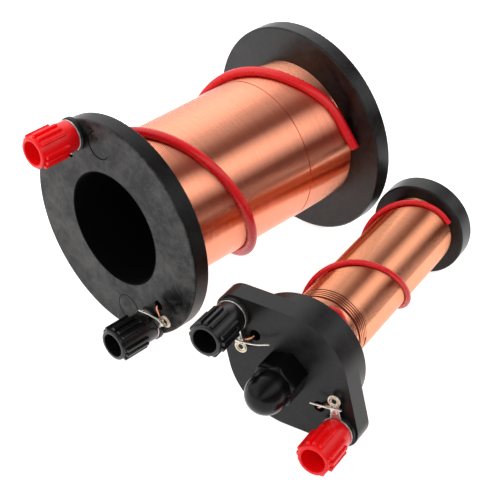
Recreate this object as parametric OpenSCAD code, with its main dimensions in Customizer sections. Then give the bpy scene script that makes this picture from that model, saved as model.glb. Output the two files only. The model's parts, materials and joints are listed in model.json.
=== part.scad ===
// Demonstration induction coil, in millimetres: a secondary coil, a primary coil
// that slides into its bore, and a soft-iron core with a domed cap.
// Both coils lie on a table at z = 0, the secondary along Y, the primary beside it.
// Each coil has a face frame: X right and Y up across its terminal face, Z out of
// that face, and angles anticlockwise from X as seen from the front.

/* [Secondary coil] */
// Length over both flanges
secondary_length = 90; // [80:1:120]
// Diameter of both flanges
flange_d = 75; // [72:0.5:90]
// Thickness of each flange
flange_t = 6; // [5:0.5:8]
// Bore that the primary coil slides into
secondary_bore_d = 39; // [36:0.5:40]
// Wall of the tube between the flanges
secondary_tube_wall = 2; // [1.5:0.25:2.5]
// Depth of the tube's seat in each flange
flange_seat = 4; // [2:0.5:4.5]
// Depth of the secondary winding on its tube
secondary_winding_depth = 4; // [2:0.25:5]
// Angle of the black post on the secondary's face
secondary_post_angle = -60; // [-75:5:-45]
// Distance from the post centres to the flange rim
post_inset = 4.5; // [4.5:0.25:6]
// Turn from each secondary post to its wire hole
secondary_hole_turn = 15; // [14:1:20]
// Diameter of the secondary's wire holes
secondary_hole_d = 3.6; // [3.4:0.1:4]
// Direction of the secondary's solder lugs, turned from straight outward
secondary_lug_turn = 90; // [80:5:100]

/* [Primary coil] */
// Length from the terminal face to the back of the end disc
primary_length = 98; // [90:1:110]
// Diameter of the round boss, which stops at the secondary's bore
boss_d = 41; // [40.5:0.5:44]
// Depth of the boss behind the terminal face
boss_length = 12; // [10:0.5:15]
// Thickness of the terminal plate
plate_t = 7; // [5:0.5:8]
// Diameter of the lobes at the plate's two ends
lobe_d = 12.4; // [11:0.2:14]
// Distance between the primary's two posts
post_spacing = 47; // [46:0.5:52]
// Diameter of the end disc
end_disc_d = 33; // [31:0.5:35]
// Thickness of the end disc
end_disc_t = 7.3; // [6:0.1:9]
// Wall of the tube that guides the core
primary_tube_wall = 1.5; // [1:0.25:2]
// Depth of that tube's seat in the boss and in the end disc
primary_seat = 4; // [2:0.5:5]
// Depth of the primary winding on its tube
primary_winding_depth = 6.2; // [5:0.1:6.5]
// Diameter of the primary's wire holes
primary_hole_d = 3.8; // [3:0.1:4.2]
// Direction of the primary's solder lugs, turned from straight outward
primary_lug_turn = 140; // [130:5:150]

/* [Core and cap] */
// Diameter of the iron core
core_d = 9; // [7:0.5:10]
// Radial clearance between the core and its tube
core_clearance = 0.3; // [0.2:0.05:0.4]
// Depth of the core's end inside the primary's back face
core_end_depth = 1; // [0.5:0.5:3]
// Size of the cap's hexagon across its flats
cap_af = 13.2; // [12.8:0.2:15]
// Length of the hexagon
cap_hex_length = 9; // [7:0.5:10]
// Chamfer on the hexagon's front corners
cap_chamfer = 0.7; // [0.3:0.1:1.2]
// Turn of the hexagon about its axis
cap_turn = 17; // [0:1:59]
// Diameter of the dome
dome_d = 13; // [11:0.2:13.2]
// Length of the whole cap
cap_length = 19; // [17:0.5:22]
// Depth of the core's seat in the cap
cap_seat = 8; // [5:0.5:10]

/* [Binding posts] */
// Diameter of the studs
stud_d = 4; // [3.6:0.1:4.4]
// Diameter of the stud heads behind the plate
stud_head_d = 5.6; // [5:0.1:5.8]
// Thickness of the stud heads
stud_head_t = 2; // [1:0.25:2.5]
// Diameter of the collars on the terminal faces
collar_d = 9.8; // [9:0.1:11]
// Height of the collars
collar_h = 1.5; // [1:0.1:2.5]
// Thickness of the solder lugs
lug_t = 0.5; // [0.3:0.05:0.8]
// Diameter of a lug's ring
lug_ring_d = 9.4; // [8:0.1:10]
// Distance from a post to its lug's eyelet
lug_reach = 10.5; // [9.5:0.1:12]
// Width of a lug's tail
lug_tail_w = 2.8; // [2:0.1:3.6]
// Outside diameter of an eyelet
eyelet_d = 4.2; // [3.6:0.1:5]
// Hole in an eyelet
eyelet_hole_d = 1.8; // [1.4:0.1:2.2]
// Diameter of the knobs without their ribs
knob_d = 10.4; // [10:0.1:11.5]
// Length of the knobs
knob_length = 14.8; // [14:0.1:18]
// Diameter of the recess in a knob's open end
recess_d = 8; // [7:0.1:8.6]
// Chamfer on a knob's open rim
knob_chamfer = 0.5; // [0.2:0.1:0.9]
// Diameter of the threaded insert in a knob
insert_d = 6.4; // [6:0.1:7.2]
// Length of that insert
insert_length = 5.5; // [4:0.1:6.5]
// Web between the insert and the recess
knob_web = 1.3; // [0.8:0.1:2]
// Height of the grip ribs
rib_h = 0.9; // [0.4:0.1:1.2]
// Width of the grip ribs
rib_w = 1.2; // [0.8:0.1:1.5]
// Length of the grip ribs
rib_length = 9.2; // [6:0.1:12]
// Distance from a knob's open rim to its ribs
rib_setback = 1.2; // [0.8:0.1:2]
// Turn between the ribs of one group
rib_step = 22; // [18:1:26]
// Turn of the rib groups about the knob's axis
rib_turn = 20; // [0:1:89]

/* [Windings] */
// Diameter of the secondary wire
secondary_wire_d = 0.5; // [0.4:0.05:0.6]
// Turns that lie apart at the secondary's far end
secondary_turn_count = 10; // [2:1:12]
// Diameter of the primary wire
primary_wire_d = 0.6; // [0.4:0.05:0.7]
// Turns that lie apart at the primary's boss
primary_turn_count = 14; // [2:1:16]
// Gap between those turns
turn_gap = 0.5; // [0.45:0.05:0.8]
// Outside diameter of the secondary's red marker tube
secondary_marker_d = 3.2; // [2.4:0.1:3.2]
// Length of the secondary's marker tube, in turns
secondary_marker_turns = 1.41; // [1:0.01:2]
// Length by which the secondary's marker strays back in its second turn
secondary_marker_sway = 4; // [0:0.5:5]
// Straight length at the cut end of the secondary's marker tube
secondary_marker_end = 9; // [3.2:0.1:10]
// Outside diameter of the primary's red marker tube
primary_marker_d = 1.8; // [1.2:0.1:2.2]
// Length of the primary's marker tube, in turns
primary_marker_turns = 2.42; // [2:0.01:3]
// Length by which the primary's marker falls behind an even pitch as it sets out
primary_marker_lag = 16.8; // [0:0.1:17]
// Part of a turn in which a marker tube bends from its hole
marker_bend = 0.1; // [0.08:0.01:0.15]
// Gap between a marker tube's cut end and the far flange
marker_end_gap = 0.6; // [0.4:0.1:2]
// Diameter of the lead wires
lead_d = 0.8; // [0.6:0.05:0.9]
// Length of a lead's tinned tail, past its eyelet
lead_tail_length = 8; // [3:0.5:9]
// Direction of the secondary's tails, turned from their lugs
secondary_tail_turn = 130; // [120:5:135]
// Direction of the primary's tails, turned from their lugs
primary_tail_turn = 85; // [70:5:120]

/* [Layout and fits] */
// Heading of the primary, turned from the secondary's axis
primary_heading = 14.5; // [12:0.5:25]
// Distance that the primary's back reaches past the secondary's back
back_overhang = 8; // [6:0.5:12]
// Gap between the coils' round ends, seen along the secondary
coil_gap = 1; // [0.6:0.1:10]
// Rounding of the moulded rims
rim_r = 0.6; // [0.2:0.1:1]
// Radial clearance of pieces that seat in one another
seat_clearance = 0.05; // [0.03:0.01:0.1]
// Radial clearance of the knobs' threads and inserts
thread_clearance = 0.05; // [0.03:0.01:0.1]
// Gap between flat faces that part in use
face_gap = 0.1; // [0.05:0.05:0.2]

/* [Hidden] */
$fn = 64;

black_plastic = "#2e2e30";
gloss_black = "#161617";
red_plastic = "#c8141c";
copper = "#d98f66";
tinned = "#c9c4ba";
steel = "#9b9da0";
brass = "#c3a257";
iron = "#5c5a58";

// Overrun of a cut past the face that it opens
cut = 1;
// Depth to which a rib is rooted in its knob
rib_root = 0.5;
rib_groups = 4;
ribs_per_group = 3;
rings_per_turn = 24;
wire_sides = 6;
lead_arc_step = 30;
// Part of a turn in which a marker's lag builds up
marker_settle = 0.5;
// Share of a marker's turns at which it strays most, and the turns over which it does
marker_sway_at = 0.75;
marker_sway_width = 0.25;
// A wire bent round in straight chords lies lower in the middle of each
turn_chord = cos(180 / rings_per_turn);

flange_r = flange_d / 2;
secondary_post_r = flange_r - post_inset;
secondary_tube_d = secondary_bore_d + 2 * secondary_tube_wall;
secondary_winding_d = secondary_tube_d + 2 * secondary_winding_depth;
secondary_back = secondary_length - flange_t;
secondary_turn_pitch = secondary_wire_d + turn_gap;
secondary_turn_r = (secondary_winding_d / 2 + seat_clearance + secondary_wire_d / 2) / turn_chord;
secondary_marker_seat = (secondary_wire_d + secondary_marker_d) / 2 + seat_clearance;
secondary_marker_r = (secondary_turn_r + secondary_marker_seat) / turn_chord;
secondary_marker_climb = (secondary_back - flange_t)
    / norm([secondary_back - flange_t, 2 * PI * secondary_marker_r * secondary_marker_turns]);
secondary_marker_run = secondary_back - flange_t - 1.5 * secondary_marker_d - marker_end_gap
    - secondary_marker_end * secondary_marker_climb;

boss_r = boss_d / 2;
lobe_r = lobe_d / 2;
primary_post_r = post_spacing / 2;
// With the posts at this slope, one straight edge of the plate lies on the table
post_slope = asin((boss_r - lobe_r) / primary_post_r);
primary_bore_d = core_d + 2 * core_clearance;
primary_tube_d = primary_bore_d + 2 * primary_tube_wall;
primary_winding_d = primary_tube_d + 2 * primary_winding_depth;
primary_back = primary_length - end_disc_t;
primary_turn_pitch = primary_wire_d + turn_gap;
primary_turn_r = (primary_winding_d / 2 + seat_clearance + primary_wire_d / 2) / turn_chord;
primary_marker_r = (primary_turn_r + (primary_wire_d + primary_marker_d) / 2 + seat_clearance) / turn_chord;
primary_marker_run = primary_back - boss_length - 2 * primary_marker_d - marker_end_gap;

knob_base = collar_h + lug_t + face_gap;
knob_tip = knob_base + knob_length;

// The primary rests on the back rims of its boss and of its smaller end disc
primary_tilt = atan((boss_r - end_disc_d / 2) / (primary_length - boss_length));
primary_z = (boss_length - rim_r) * sin(primary_tilt) + (boss_r - rim_r) * cos(primary_tilt) + rim_r;
end_disc_x = sqrt(pow(flange_r + end_disc_d / 2 + coil_gap, 2) - pow(flange_r - end_disc_d / 2, 2));
primary_x = end_disc_x + primary_back * sin(primary_heading) * cos(primary_tilt);
// Distance of the primary's face behind the secondary's
primary_setback = secondary_length + back_overhang
    - primary_length * cos(primary_heading) * cos(primary_tilt);
// Share of the primary's face plane that reaches along X and along Y
face_x = sqrt(1 - pow(sin(primary_heading) * cos(primary_tilt), 2));
face_y = sqrt(1 - pow(cos(primary_heading) * cos(primary_tilt), 2));
post_run = primary_post_r * cos(post_slope);
right_edge = primary_x + post_run * cos(primary_heading)
    + knob_tip * sin(primary_heading) + (knob_d / 2 + rib_h / 2) * face_x;
front_edge = primary_setback - post_run * sin(primary_heading)
    - knob_tip * cos(primary_heading) - knob_d / 2 * face_y;
back_edge = primary_setback + primary_length * cos(primary_heading) + end_disc_d / 2 * face_y;
// The origin is under the middle of the pair
middle = [(right_edge - flange_r) / 2, (min(front_edge, -knob_tip) + max(back_edge, secondary_length)) / 2];

secondary_black = secondary_post_angle;
secondary_red = secondary_post_angle + 180;
primary_red = -post_slope;
primary_black = 180 - post_slope;

function polar(r, angle) = [r * cos(angle), r * sin(angle)];
function unit(v) = v / norm(v);
function last(list) = list[len(list) - 1];

// Points of a helix of even pitch that runs back from a start depth
function turns_path(r, pitch, count, depth) = [
    for (k = [0 : count * rings_per_turn])
        let (turn = k / rings_per_turn)
        concat(polar(r, -360 * turn), -depth - pitch * turn)
];

// Share of a marker's lag that has built up after t turns
function settled(t) = 1 - exp(-t / marker_settle);

// Points of a marker tube: straight out of a face, then round in a helix
function marker_path(r, d, depth, turns, run, lag, sway, angle) =
    let (steps = round(turns * rings_per_turn))
    let (pitch = (run + lag * settled(turns)) / turns)
    concat(
        [concat(polar(r, angle), -depth)],
        [
            for (k = [0 : steps])
                let (t = turns * k / steps)
                let (turned = t * t / (t + marker_bend))
                let (stray = sway * exp(-pow((t - marker_sway_at * turns) / marker_sway_width, 2)))
                concat(polar(r, angle - 360 * turned), -depth - d - pitch * t + lag * settled(t) - stray)
        ]
    );

// Points of a lead: out of its hole, along the face, up through the eyelet and over
function lead_path(hole, eyelet, depth, tail_angle) =
    let (bend = collar_h / 2)
    let (over = collar_h + lug_t)
    let (out = unit(eyelet - hole))
    let (tail = polar(1, tail_angle))
    let (arc = [for (a = [0 : lead_arc_step : 90]) [1 - cos(a), sin(a)] * bend])
    concat(
        [concat(hole, -depth)],
        [for (p = arc) concat(hole + out * p.x, p.y)],
        [for (p = arc) concat(eyelet - out * (bend - p.y), bend + p.x)],
        [for (p = arc) concat(eyelet + tail * p.x, over + p.y)],
        [concat(eyelet + tail * (bend + lead_tail_length), over + bend)]
    );

// The path with a straight run of length d at its free end, or at both ends
function straight_end(path, d) =
    concat(path, [last(path) + d * unit(last(path) - path[len(path) - 2])]);
function straight_ends(path, d) =
    concat([path[0] + d * unit(path[0] - path[1])], straight_end(path, d));

function tangents(path) = [
    for (i = [0 : len(path) - 1])
        unit(path[min(i + 1, len(path) - 1)] - path[max(i - 1, 0)])
];

// Directions along the coil's surface, square to a path that winds round the Z axis
function along_surface(path) =
    let (t = tangents(path))
    [for (i = [0 : len(path) - 1]) unit(cross(t[i], [path[i].x, path[i].y, 0]))];

// A direction square to a path, carried from point to point without twist
function carried(t, side, i = 0) =
    i == len(t) ? [] :
    let (square = unit(side - (side * t[i]) * t[i]))
    concat([square], carried(t, square, i + 1));

// Least gap between one turn of a tube of diameter d and the next
function least_gap(path, d, rings) = min([
    for (i = [0 : len(path) - 1])
        for (j = [i + rings / 2 : 1 : min(i + 2 * rings, len(path) - 1)])
            norm(path[i] - path[j])
]) - d;

secondary_turn_path = straight_ends(
    turns_path(
        secondary_turn_r, secondary_turn_pitch, secondary_turn_count,
        secondary_back - secondary_turn_pitch * (secondary_turn_count + 1)
    ),
    secondary_wire_d
);
primary_turn_path = straight_ends(
    turns_path(primary_turn_r, primary_turn_pitch, primary_turn_count, boss_length + primary_turn_pitch),
    primary_wire_d
);
secondary_marker_path = straight_end(
    marker_path(
        secondary_marker_r, secondary_marker_d, flange_t, secondary_marker_turns,
        secondary_marker_run, 0, secondary_marker_sway, secondary_red + secondary_hole_turn
    ),
    secondary_marker_end
);
primary_marker_path = straight_end(
    marker_path(
        primary_marker_r, primary_marker_d, boss_length, primary_marker_turns,
        primary_marker_run, primary_marker_lag, 0, primary_black
    ),
    primary_marker_d
);
echo(secondary_turns_gap = least_gap(secondary_turn_path, secondary_wire_d, rings_per_turn));
echo(primary_turns_gap = least_gap(primary_turn_path, primary_wire_d, rings_per_turn));
echo(secondary_marker_gap = least_gap(secondary_marker_path, secondary_marker_d, rings_per_turn));
echo(primary_marker_gap = least_gap(primary_marker_path, primary_marker_d, rings_per_turn));

// Placing of the two face frames, and of a post on each
module on_secondary() {
    translate([-middle.x, -middle.y, flange_r]) rotate([90, 0, 0]) children();
}

module on_primary() {
    translate([primary_x - middle.x, primary_setback - middle.y, primary_z])
        rotate([90 - primary_tilt, 0, primary_heading])
            children();
}

module on_secondary_post(angle) {
    on_secondary() rotate(angle) translate([secondary_post_r, 0, 0]) children();
}

module on_primary_post(angle) {
    on_primary() rotate(angle) translate([primary_post_r, 0, 0]) children();
}

// A disc with rounded rims, from z = -t to z = 0
module rimmed_disc(d, t) {
    r = d / 2;
    rotate_extrude() {
        translate([0, -t]) square([r - rim_r, t]);
        translate([0, rim_r - t]) square([r, t - 2 * rim_r]);
        translate([r - rim_r, -rim_r]) circle(rim_r);
        translate([r - rim_r, rim_r - t]) circle(rim_r);
    }
}

// A hole along Z, from a start depth back, open at both ends
module drill(d, depth) {
    translate([0, 0, -depth - cut]) cylinder(d = d, h = depth + 2 * cut);
}

module pipe(outer_d, inner_d, l) {
    translate([0, 0, -l]) difference() {
        cylinder(d = outer_d, h = l);
        translate([0, 0, -cut]) cylinder(d = inner_d, h = l + 2 * cut);
    }
}

// A hole for a stud, with a seat for its head in the back of a plate
module stud_hole(depth) {
    drill(stud_d + 2 * seat_clearance, depth);
    translate([0, 0, -depth - cut])
        cylinder(d = stud_head_d + 2 * seat_clearance, h = stud_head_t + cut);
}

// One tube swept along a path, given a direction square to it at each point
module swept_tube(path, sides, d) {
    t = tangents(path);
    rings = len(path);
    points = [
        for (i = [0 : rings - 1])
            let (n = cross(sides[i], t[i]))
            for (k = [0 : wire_sides - 1])
                let (a = 360 * k / wire_sides)
                path[i] + d / 2 * (cos(a) * n + sin(a) * sides[i])
    ];
    walls = [
        for (i = [0 : rings - 2])
            for (k = [0 : wire_sides - 1])
                let (p = i * wire_sides + k)
                let (q = i * wire_sides + (k + 1) % wire_sides)
                each [[p, p + wire_sides, q + wire_sides], [p, q + wire_sides, q]]
    ];
    start_cap = [for (k = [1 : wire_sides - 2]) [0, k, k + 1]];
    top = (rings - 1) * wire_sides;
    end_cap = [for (k = [1 : wire_sides - 2]) [top, top + k + 1, top + k]];
    polyhedron(points = points, faces = concat(walls, start_cap, end_cap));
}

module wound_tube(path, d) {
    swept_tube(path, along_surface(path), d);
}

// The secondary's bobbin
module flange_blank() {
    difference() {
        rimmed_disc(flange_d, flange_t);
        drill(secondary_bore_d, flange_t);
        translate([0, 0, -flange_t - cut])
            cylinder(d = secondary_tube_d + 2 * seat_clearance, h = flange_seat + cut);
    }
}

module secondary_tube() {
    face_l = flange_t - flange_seat;
    color(black_plastic) on_secondary() translate([0, 0, -face_l])
        pipe(secondary_tube_d, secondary_bore_d, secondary_length - 2 * face_l);
}

module secondary_front_flange() {
    hole_r = secondary_marker_r;
    color(black_plastic) on_secondary() difference() {
        flange_blank();
        for (angle = [secondary_black, secondary_red]) {
            rotate(angle) translate([secondary_post_r, 0, 0]) stud_hole(flange_t);
            rotate(angle + secondary_hole_turn) translate([hole_r, 0, 0])
                drill(secondary_hole_d, flange_t);
        }
    }
}

module secondary_rear_flange() {
    color(black_plastic) on_secondary() translate([0, 0, -secondary_length])
        rotate([180, 0, 0]) flange_blank();
}

module secondary_winding() {
    color(copper) on_secondary() translate([0, 0, -flange_t])
        pipe(secondary_winding_d, secondary_tube_d + 2 * seat_clearance, secondary_length - 2 * flange_t);
}

module secondary_turns() {
    color(copper) on_secondary() wound_tube(secondary_turn_path, secondary_wire_d);
}

module secondary_marker_tube() {
    color(red_plastic) on_secondary() wound_tube(secondary_marker_path, secondary_marker_d);
}

// The primary's bobbin
module plate_outline() {
    reach = 90 - post_slope;
    circle(boss_r);
    for (angle = [primary_red, primary_black])
        translate(polar(primary_post_r, angle)) circle(lobe_r);
    polygon([
        for (angle = [primary_red, primary_black])
            let (lobe = polar(primary_post_r, angle))
            each [
                polar(boss_r, angle - reach),
                lobe + polar(lobe_r, angle - reach),
                lobe + polar(lobe_r, angle + reach),
                polar(boss_r, angle + reach)
            ]
    ]);
}

module primary_base_plate() {
    color(black_plastic) on_primary() difference() {
        union() {
            rimmed_disc(boss_d, boss_length);
            translate([0, 0, -plate_t]) linear_extrude(plate_t) plate_outline();
        }
        drill(primary_bore_d, boss_length);
        translate([0, 0, -boss_length - cut])
            cylinder(d = primary_tube_d + 2 * seat_clearance, h = primary_seat + cut);
        for (angle = [primary_black, primary_red]) {
            rotate(angle) translate([primary_post_r, 0, 0]) stud_hole(plate_t);
            rotate(angle) translate([primary_marker_r, 0, 0]) drill(primary_hole_d, boss_length);
        }
    }
}

module primary_tube() {
    front = boss_length - primary_seat;
    color(black_plastic) on_primary() translate([0, 0, -front])
        pipe(primary_tube_d, primary_bore_d, primary_back + primary_seat - front);
}

module primary_end_disc() {
    color(black_plastic) on_primary() translate([0, 0, -primary_back]) difference() {
        rimmed_disc(end_disc_d, end_disc_t);
        drill(primary_bore_d, end_disc_t);
        translate([0, 0, -primary_seat])
            cylinder(d = primary_tube_d + 2 * seat_clearance, h = primary_seat + cut);
    }
}

module primary_winding() {
    color(copper) on_primary() translate([0, 0, -boss_length])
        pipe(primary_winding_d, primary_tube_d + 2 * seat_clearance, primary_back - boss_length);
}

module primary_turns() {
    color(copper) on_primary() wound_tube(primary_turn_path, primary_wire_d);
}

module primary_marker_tube() {
    color(red_plastic) on_primary() wound_tube(primary_marker_path, primary_marker_d);
}

// The core, which slides out of the primary by its cap
module iron_core() {
    color(iron) on_primary() translate([0, 0, core_end_depth - primary_length])
        cylinder(d = core_d, h = primary_length - core_end_depth + face_gap + cap_seat);
}

module core_cap() {
    corner_r = cap_af / 2 / cos(30);
    dome_z = cap_length - dome_d / 2;
    color(gloss_black) on_primary() translate([0, 0, face_gap]) rotate(cap_turn) difference() {
        union() {
            intersection() {
                cylinder(r = corner_r, h = cap_hex_length, $fn = 6);
                rotate_extrude() polygon([
                    [0, 0], [corner_r, 0], [corner_r, cap_hex_length - cap_chamfer],
                    [corner_r - 2 * cap_chamfer, cap_hex_length], [0, cap_hex_length]
                ]);
            }
            cylinder(d = dome_d, h = dome_z);
            translate([0, 0, dome_z]) sphere(d = dome_d);
        }
        translate([0, 0, -cut]) cylinder(d = core_d + 2 * seat_clearance, h = cap_seat + cut);
    }
}

// The pieces of a binding post, about its own axis
module stud(depth) {
    tip = knob_base + insert_length - face_gap;
    color(steel) {
        translate([0, 0, -depth]) cylinder(d = stud_head_d, h = stud_head_t);
        translate([0, 0, -depth]) cylinder(d = stud_d, h = depth + tip);
    }
}

module collar() {
    color(black_plastic) translate([0, 0, collar_h])
        pipe(collar_d, stud_d + 2 * seat_clearance, collar_h);
}

// A flat ring under the knob, with a tapered tail that ends in an eyelet
module lug(turn) {
    color(tinned) translate([0, 0, collar_h]) rotate(turn) linear_extrude(lug_t) difference() {
        union() {
            circle(d = lug_ring_d);
            translate([lug_reach, 0]) circle(d = eyelet_d);
            polygon([
                [0, -lug_ring_d / 3], [lug_reach, -lug_tail_w / 2],
                [lug_reach, lug_tail_w / 2], [0, lug_ring_d / 3]
            ]);
        }
        circle(d = stud_d + 2 * seat_clearance);
        translate([lug_reach, 0]) circle(d = eyelet_hole_d);
    }
}

module insert() {
    color(brass) translate([0, 0, knob_base + insert_length])
        pipe(insert_d, stud_d + 2 * thread_clearance, insert_length);
}

module grip_ribs() {
    group_turn = 360 / rib_groups;
    crest = knob_d / 2 + rib_h - rib_w / 2;
    root = knob_d / 2 - rib_root;
    for (group = [0 : rib_groups - 1])
        for (rib = [0 : ribs_per_group - 1])
            rotate(rib_turn + group * group_turn + rib * rib_step) linear_extrude(rib_length) {
                translate([root, -rib_w / 2]) square([crest - root, rib_w]);
                translate([crest, 0]) circle(d = rib_w);
            }
}

module knob(shade) {
    floor_l = insert_length + knob_web;
    color(shade) translate([0, 0, knob_base]) difference() {
        union() {
            rotate_extrude() polygon([
                [0, 0], [knob_d / 2, 0], [knob_d / 2, knob_length - knob_chamfer],
                [knob_d / 2 - knob_chamfer, knob_length], [0, knob_length]
            ]);
            translate([0, 0, knob_length - rib_setback - rib_length]) grip_ribs();
        }
        translate([0, 0, floor_l]) cylinder(d = recess_d, h = knob_length - floor_l + cut);
        translate([0, 0, -cut]) cylinder(d = insert_d + 2 * thread_clearance, h = insert_length + cut);
    }
}

// A lead from the wire hole of a post to the eyelet of its lug
module lead(hole, post, lug_angle, tail_turn, depth) {
    eyelet = post + polar(lug_reach, lug_angle);
    path = lead_path(hole, eyelet, depth, lug_angle + tail_turn);
    color(copper) swept_tube(path, carried(tangents(path), [1, 0, 0]), lead_d);
}

module secondary_lead(angle) {
    hole = polar(secondary_marker_r, angle + secondary_hole_turn);
    post = polar(secondary_post_r, angle);
    on_secondary() lead(hole, post, angle + secondary_lug_turn, secondary_tail_turn, flange_t);
}

module primary_lead(angle) {
    hole = polar(primary_marker_r, angle);
    post = polar(primary_post_r, angle);
    on_primary() lead(hole, post, angle + primary_lug_turn, primary_tail_turn, boss_length);
}

module secondary_black_stud() { on_secondary_post(secondary_black) stud(flange_t); }
module secondary_red_stud() { on_secondary_post(secondary_red) stud(flange_t); }
module secondary_black_collar() { on_secondary_post(secondary_black) collar(); }
module secondary_red_collar() { on_secondary_post(secondary_red) collar(); }
module secondary_black_lug() { on_secondary_post(secondary_black) lug(secondary_lug_turn); }
module secondary_red_lug() { on_secondary_post(secondary_red) lug(secondary_lug_turn); }
module secondary_black_lead() { secondary_lead(secondary_black); }
module secondary_red_lead() { secondary_lead(secondary_red); }
module secondary_black_insert() { on_secondary_post(secondary_black) insert(); }
module secondary_red_insert() { on_secondary_post(secondary_red) insert(); }
module secondary_black_knob() { on_secondary_post(secondary_black) knob(black_plastic); }
module secondary_red_knob() { on_secondary_post(secondary_red) knob(red_plastic); }
module primary_black_stud() { on_primary_post(primary_black) stud(plate_t); }
module primary_red_stud() { on_primary_post(primary_red) stud(plate_t); }
module primary_black_collar() { on_primary_post(primary_black) collar(); }
module primary_red_collar() { on_primary_post(primary_red) collar(); }
module primary_black_lug() { on_primary_post(primary_black) lug(primary_lug_turn); }
module primary_red_lug() { on_primary_post(primary_red) lug(primary_lug_turn); }
module primary_black_lead() { primary_lead(primary_black); }
module primary_red_lead() { primary_lead(primary_red); }
module primary_black_insert() { on_primary_post(primary_black) insert(); }
module primary_red_insert() { on_primary_post(primary_red) insert(); }
module primary_black_knob() { on_primary_post(primary_black) knob(black_plastic); }
module primary_red_knob() { on_primary_post(primary_red) knob(red_plastic); }

secondary_tube();
secondary_front_flange();
secondary_rear_flange();
secondary_winding();
secondary_turns();
secondary_marker_tube();
secondary_black_stud();
secondary_red_stud();
secondary_black_collar();
secondary_red_collar();
secondary_black_lug();
secondary_red_lug();
secondary_black_lead();
secondary_red_lead();
secondary_black_insert();
secondary_red_insert();
secondary_black_knob();
secondary_red_knob();
primary_base_plate();
primary_tube();
primary_end_disc();
primary_winding();
primary_turns();
primary_marker_tube();
primary_black_stud();
primary_red_stud();
primary_black_collar();
primary_red_collar();
primary_black_lug();
primary_red_lug();
primary_black_lead();
primary_red_lead();
primary_black_insert();
primary_red_insert();
primary_black_knob();
primary_red_knob();
iron_core();
core_cap();
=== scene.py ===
import json
import math

import bmesh
import bpy
from bpy.props import FloatProperty, FloatVectorProperty, IntProperty, PointerProperty
from mathutils import Matrix, Vector, noise


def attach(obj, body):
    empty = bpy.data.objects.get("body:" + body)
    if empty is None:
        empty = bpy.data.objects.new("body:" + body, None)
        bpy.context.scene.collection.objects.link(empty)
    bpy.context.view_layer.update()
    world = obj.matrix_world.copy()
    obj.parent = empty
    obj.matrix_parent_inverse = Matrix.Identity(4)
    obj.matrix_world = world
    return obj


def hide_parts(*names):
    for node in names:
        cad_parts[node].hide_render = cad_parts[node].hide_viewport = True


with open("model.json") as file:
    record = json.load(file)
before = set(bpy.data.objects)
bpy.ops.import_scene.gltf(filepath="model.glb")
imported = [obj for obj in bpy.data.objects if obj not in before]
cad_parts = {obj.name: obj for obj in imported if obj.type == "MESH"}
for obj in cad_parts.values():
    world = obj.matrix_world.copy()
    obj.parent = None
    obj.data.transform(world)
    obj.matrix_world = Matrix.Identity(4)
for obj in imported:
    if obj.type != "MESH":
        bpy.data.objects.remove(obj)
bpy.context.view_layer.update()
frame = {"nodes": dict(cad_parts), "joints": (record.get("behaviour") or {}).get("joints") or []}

bl_info = {
    "name": "Demonstration Induction Coil",
    "version": (1, 0, 0),
    "blender": (4, 5, 0),
    "location": "3D View > Sidebar > Induction Coil",
    "description": "Dresses a two-coil classroom induction set and its light tent",
    "category": "Object",
}

MM = 0.001
TAU = 2 * math.pi
WHITE = (1.0, 1.0, 1.0, 1.0)
JOINTS = {joint["name"]: joint for joint in frame["joints"]}
POSTS = ("secondary_black", "secondary_red", "primary_black", "primary_red")


# Settings

def length(name, description, millimetres):
    """A size that is given in millimetres and kept in metres."""
    return FloatProperty(
        name=name, description=description, default=millimetres * MM,
        min=0.0, precision=5, unit="LENGTH",
    )


def bearing(name, description, degrees):
    """An angle that is given in degrees and kept in radians."""
    return FloatProperty(
        name=name, description=description, default=math.radians(degrees), subtype="ANGLE",
    )


def turn_count(name, description, turns):
    """A number of turns round a winding."""
    return FloatProperty(name=name, description=description, default=turns, min=0.5, precision=3)


def colour(name, description, linear):
    """A colour in linear light."""
    return FloatVectorProperty(
        name=name, description=description, default=linear, size=3,
        min=0.0, max=1.0, subtype="COLOR",
    )


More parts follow.
